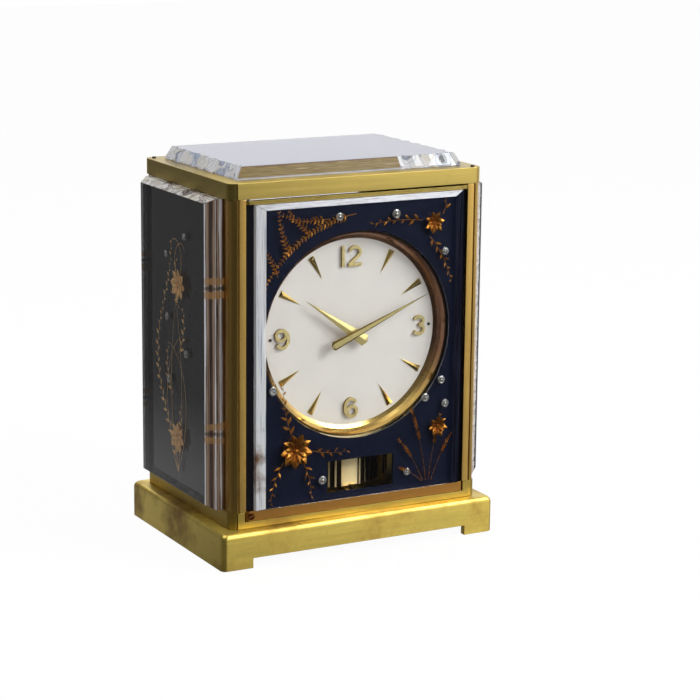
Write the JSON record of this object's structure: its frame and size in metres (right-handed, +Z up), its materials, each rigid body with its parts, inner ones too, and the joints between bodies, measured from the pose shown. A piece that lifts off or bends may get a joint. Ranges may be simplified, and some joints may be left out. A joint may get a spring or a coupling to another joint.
{
  "type": "atmospheric clock",
  "caption": "Table clock in a brushed brass case with clear acrylic slabs, a round dial, a hinged front door and a ribbed torsion pendulum behind a low window.",
  "frame": {"origin": "middle of the plinth's underside, on the surface that the clock stands on", "axes": "+Z up, -Y out of the dial towards the viewer, +X to the right as seen from the front"},
  "size_m": [0.1868, 0.1324, 0.235],
  "materials": {
    "brass": "brushed",
    "pale_brass": "polished",
    "red_brass": "brushed",
    "steel": "polished",
    "acrylic": "clear, polished",
    "glass": "clear",
    "night_blue": "gloss lacquer",
    "black_lacquer": "gloss lacquer",
    "ivory": "satin lacquer"
  },
  "bodies": {
    "case": {"plinth": "brass", "base_platform": "brass", "rear_foot": "steel", "pillar_front_left": "brass", "pillar_front_right": "brass", "pillar_rear_left": "brass", "pillar_rear_right": "brass", "top_frame": "brass", "top_slab": "acrylic", "left_slab": "acrylic", "right_slab": "acrylic", "left_backing": "black_lacquer", "right_backing": "black_lacquer", "spirit_level": "pale_brass", "hinge_pin_lower": "steel", "hinge_pin_upper": "steel", "front_plate": "pale_brass", "rear_plate": "pale_brass", "column_left": "pale_brass", "column_right": "pale_brass", "bellows_housing": "brass", "suspension_bracket": "pale_brass", "bezel": "pale_brass", "dial": "ivory", "numeral_12_one": "pale_brass", "numeral_12_two": "pale_brass", "numeral_3": "pale_brass", "numeral_6": "pale_brass", "numeral_9": "pale_brass", "marker_1": "pale_brass", "marker_2": "pale_brass", "marker_4": "pale_brass", "marker_5": "pale_brass", "marker_7": "pale_brass", "marker_8": "pale_brass", "marker_10": "pale_brass", "marker_11": "pale_brass"},
    "front_door": {"door_bottom_rail": "red_brass", "door_top_rail": "pale_brass", "door_frame": "night_blue", "door_slab": "acrylic"},
    "rear_cover": {"rear_frame": "brass", "rear_glass": "glass"},
    "latch": {"rear_latch": "pale_brass"},
    "minute_arbor": {"centre_wheel": "pale_brass", "cannon_pinion": "steel", "minute_hand": "pale_brass"},
    "hour_tube": {"hour_wheel": "pale_brass", "hour_hand": "pale_brass"},
    "minute_wheel": {"minute_wheel": "pale_brass"},
    "barrel": {"barrel": "brass"},
    "third_wheel": {"third_wheel": "pale_brass"},
    "escape_wheel": {"escape_wheel": "steel"},
    "anchor": {"anchor": "steel"},
    "pendulum": {"pendulum": "brass", "suspension_wire": "steel"},
    "lock_lever": {"lock_lever": "pale_brass"},
    "levelling_foot_left": {"levelling_foot_left": "steel"},
    "levelling_foot_right": {"levelling_foot_right": "steel"}
  },
  "joints": [
    {"name": "front_door_hinge", "type": "hinge", "parent": "case", "child": "front_door", "pos_m": [-0.0715, -0.0572, 0.12], "axis": [0, 0, -1], "range_deg": [0, 90]},
    {"name": "rear_cover_lift", "type": "slide", "parent": "case", "child": "rear_cover", "axis": [0, 1, 0], "range_m": [0, 0.04]},
    {"name": "latch_turn", "type": "hinge", "parent": "rear_cover", "child": "latch", "pos_m": [0, 0.058, 0.2128], "axis": [0, 1, 0], "range_deg": [0, 90]},
    {"name": "minute_spin", "type": "hinge", "parent": "case", "child": "minute_arbor", "pos_m": [0, -0.05, 0.1319], "axis": [0, 1, 0], "continuous": true},
    {"name": "hour_spin", "type": "hinge", "parent": "case", "child": "hour_tube", "pos_m": [0, -0.05, 0.1319], "axis": [0, 1, 0], "continuous": true},
    {"name": "minute_wheel_spin", "type": "hinge", "parent": "case", "child": "minute_wheel", "pos_m": [0.00819, -0.046, 0.13764], "axis": [0, 1, 0], "continuous": true},
    {"name": "barrel_spin", "type": "hinge", "parent": "case", "child": "barrel", "pos_m": [0, -0.035, 0.1494], "axis": [0, 1, 0], "continuous": true},
    {"name": "third_wheel_spin", "type": "hinge", "parent": "case", "child": "third_wheel", "pos_m": [-0.00963, -0.03, 0.11912], "axis": [0, 1, 0], "continuous": true},
    {"name": "escape_wheel_spin", "type": "hinge", "parent": "case", "child": "escape_wheel", "pos_m": [0.00001, -0.03, 0.10897], "axis": [0, 1, 0], "continuous": true},
    {"name": "anchor_rock", "type": "hinge", "parent": "case", "child": "anchor", "pos_m": [0.00001, -0.03, 0.09897], "axis": [0, 1, 0], "range_deg": [-4, 4]},
    {"name": "pendulum_turn", "type": "hinge", "parent": "case", "child": "pendulum", "pos_m": [0, 0.001, 0.1], "axis": [0, 0, 1], "range_deg": [-270, 270], "stiffness_Nm_per_rad": 0.0000084},
    {"name": "lock_lever_swing", "type": "hinge", "parent": "case", "child": "lock_lever", "pos_m": [0, -0.03, 0.0335], "axis": [0, 0, 1], "range_deg": [-20, 20]},
    {"name": "left_foot_screw", "type": "slide", "parent": "case", "child": "levelling_foot_left", "axis": [0, 0, -1], "range_m": [0, 0.004]},
    {"name": "right_foot_screw", "type": "slide", "parent": "case", "child": "levelling_foot_right", "axis": [0, 0, -1], "range_m": [0, 0.004]}
  ],
  "couplings": [
    {"joint": "hour_spin", "follows": "minute_spin", "ratio": 0.083333},
    {"joint": "minute_wheel_spin", "follows": "minute_spin", "ratio": -0.33333},
    {"joint": "barrel_spin", "follows": "minute_spin", "ratio": -0.16667},
    {"joint": "third_wheel_spin", "follows": "minute_spin", "ratio": -3},
    {"joint": "escape_wheel_spin", "follows": "minute_spin", "ratio": 4}
  ]
}
